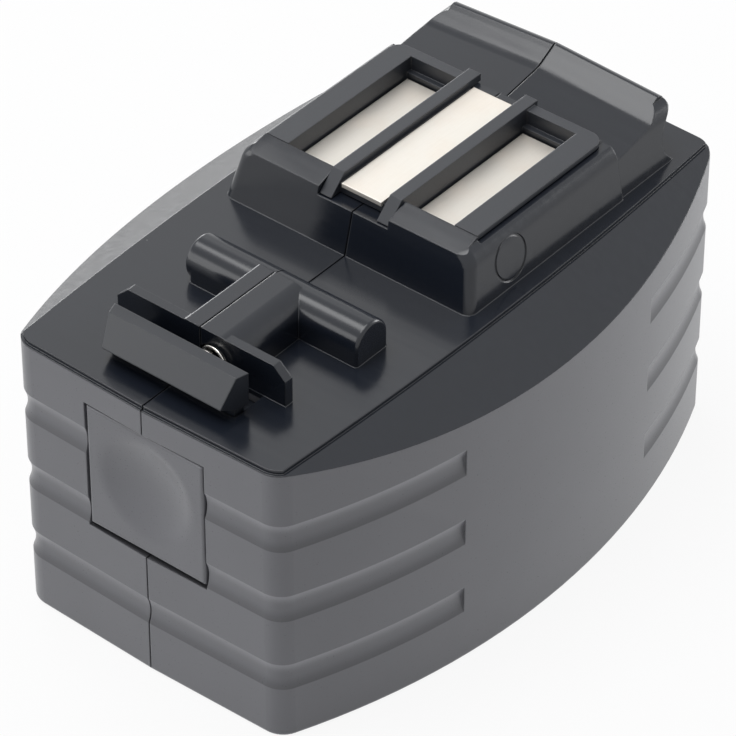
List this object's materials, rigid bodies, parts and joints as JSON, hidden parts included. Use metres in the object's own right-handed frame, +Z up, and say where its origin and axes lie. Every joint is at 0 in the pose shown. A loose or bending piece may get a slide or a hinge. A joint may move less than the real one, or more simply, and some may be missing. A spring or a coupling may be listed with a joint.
{
  "type": "power tool battery pack",
  "caption": "Slide-on battery pack with a bowed dark case, a dished release button, a sprung catch bar, a fixed T rail and a raised contact tower with a rear hook.",
  "frame": {"origin": "middle of the base, on the plane the pack stands on", "axes": "+X to the right seen from the button end, +Y from the button end to the hook end, +Z up; X = 0 is the seam between the case halves"},
  "size_m": [0.0884, 0.1266, 0.0753],
  "materials": {
    "case_plastic": "dark grey moulded plastic, satin sides and a glossier deck",
    "carrier_plastic": "near-black moulded plastic",
    "button_plastic": "dark grey moulded plastic",
    "latch_plastic": "dark grey moulded plastic",
    "contact_metal": "nickel plated strip, slightly worn",
    "spring_steel": "bright spring wire",
    "screw_steel": "dark zinc plated",
    "cell_sleeve": "shrink sleeve",
    "pad_card": "insulating card",
    "link_nickel": "nickel strip",
    "lead_red": "insulation",
    "lead_black": "insulation",
    "lead_white": "insulation",
    "sensor_body": "epoxy bead"
  },
  "bodies": {
    "housing": {"left_shell": "case_plastic", "right_shell": "case_plastic", "case_screws": "screw_steel", "contact_carrier": "carrier_plastic", "contact_plate_left": "contact_metal", "contact_plate_right": "contact_metal", "contact_strip_middle": "contact_metal", "latch_spring": "spring_steel", "cell_01": "cell_sleeve", "cell_02": "cell_sleeve", "cell_03": "cell_sleeve", "cell_04": "cell_sleeve", "cell_05": "cell_sleeve", "cell_06": "cell_sleeve", "cell_07": "cell_sleeve", "cell_08": "cell_sleeve", "cell_09": "cell_sleeve", "cell_10": "cell_sleeve", "cell_pad_bottom": "pad_card", "cell_pad_top": "pad_card", "cell_links_bottom": "link_nickel", "cell_links_top": "link_nickel", "lead_positive": "lead_red", "lead_negative": "lead_black", "sensor_lead": "lead_white", "thermal_sensor": "sensor_body"},
    "latch": {"release_button": "button_plastic", "latch_slide": "latch_plastic"}
  },
  "joints": [
    {"name": "latch_slide_travel", "type": "slide", "parent": "housing", "child": "latch", "axis": [0, 1, 0], "range_m": [0, 0.0035], "stiffness_N_per_m": 900, "springref_m": -0.004, "deforming": ["latch_spring"]}
  ]
}
